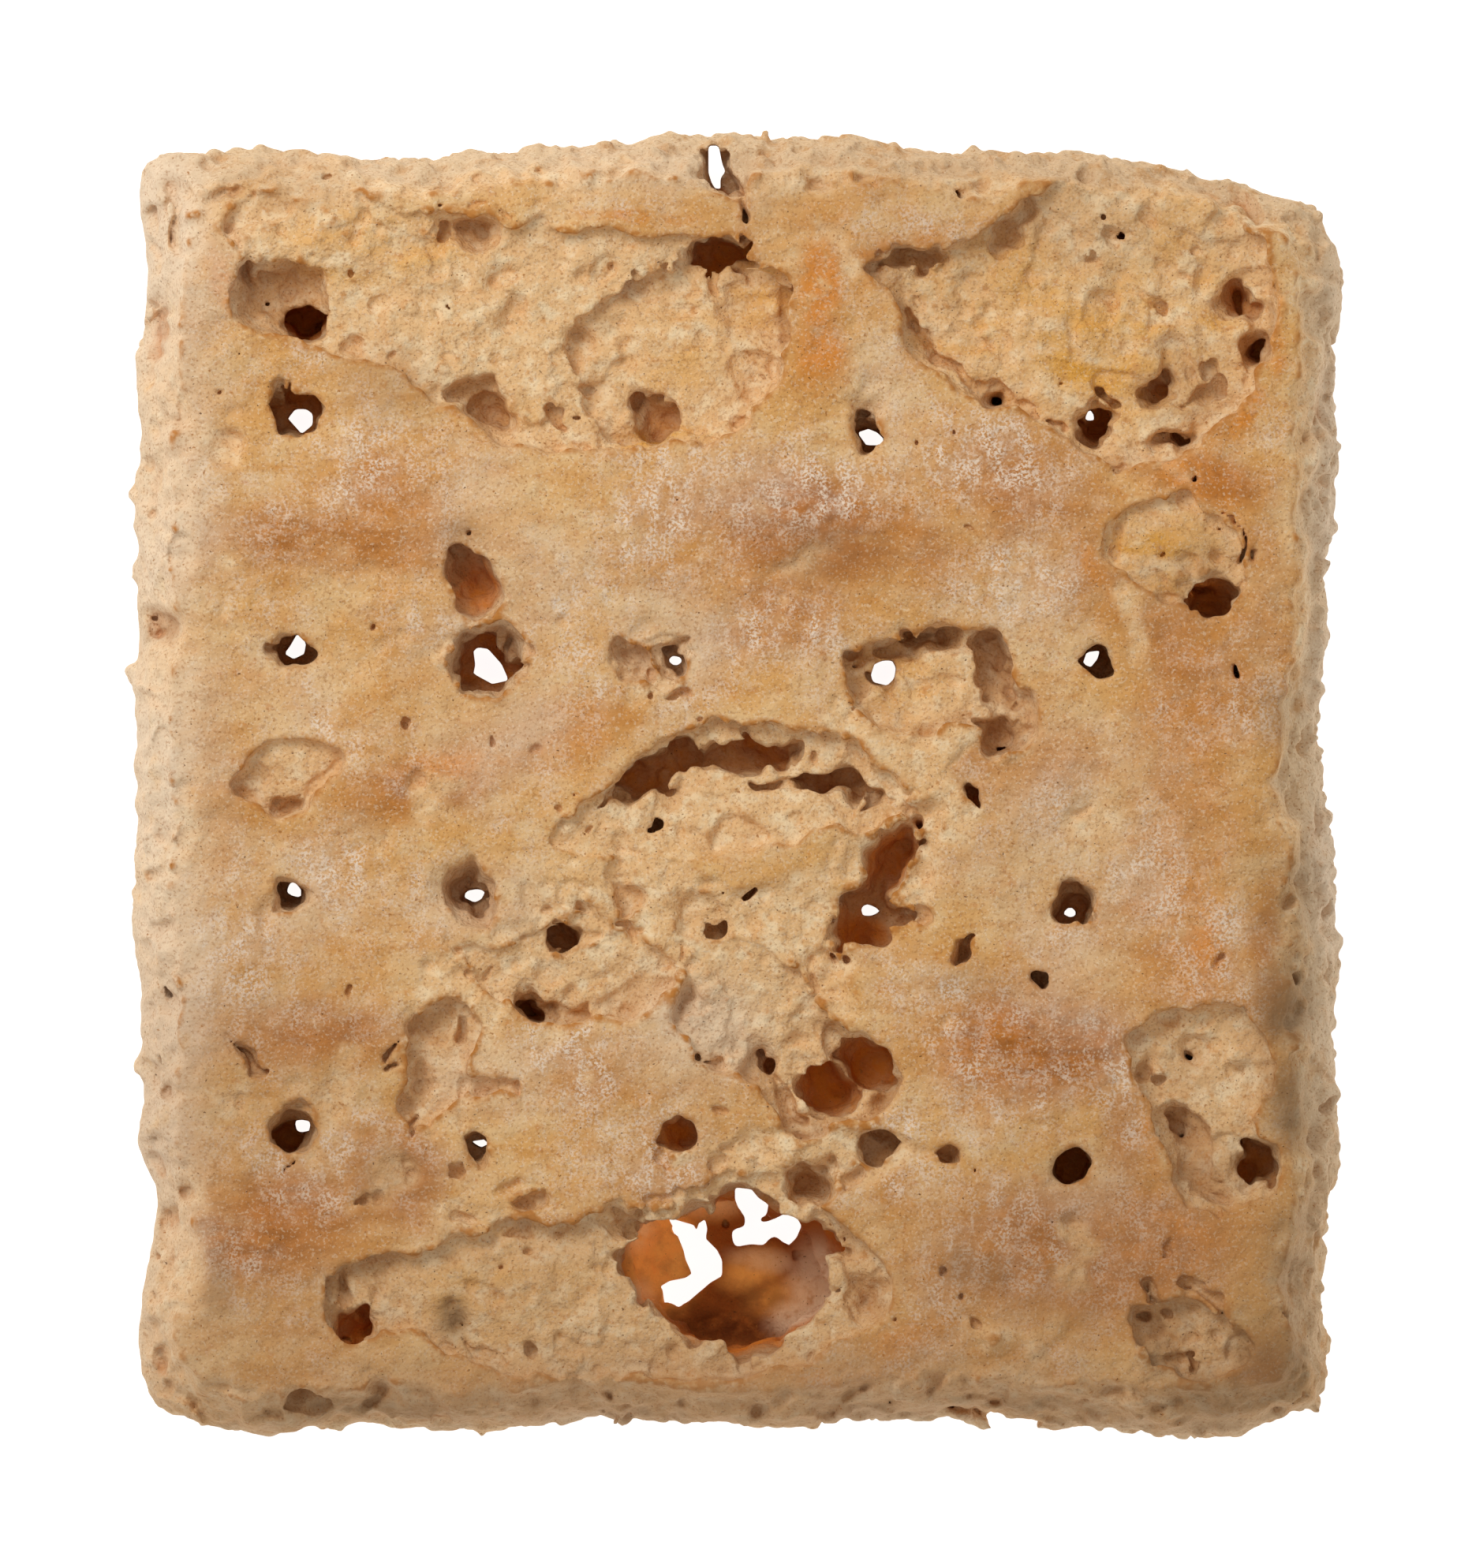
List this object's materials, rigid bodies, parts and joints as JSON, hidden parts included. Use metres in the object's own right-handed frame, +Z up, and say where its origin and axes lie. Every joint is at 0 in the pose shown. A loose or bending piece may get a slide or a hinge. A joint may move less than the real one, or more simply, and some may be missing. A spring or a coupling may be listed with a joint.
{
  "type": "hardtack biscuit",
  "caption": "Thick square of hard-baked flour and water biscuit, pricked all over with pin holes, with burst blisters on its top crust; lies flat.",
  "frame": {"origin": "on the table, under the middle of the biscuit's outline", "axes": "+Z up through the thickness, +Y along the longer side, +X along the shorter side, to the right with the browned top crust up"},
  "size_m": [0.0734, 0.0786, 0.012],
  "materials": {
    "baked_dough": "matte, floury baked crust"
  },
  "bodies": {
    "root": {"biscuit": "baked_dough"}
  },
  "joints": []
}
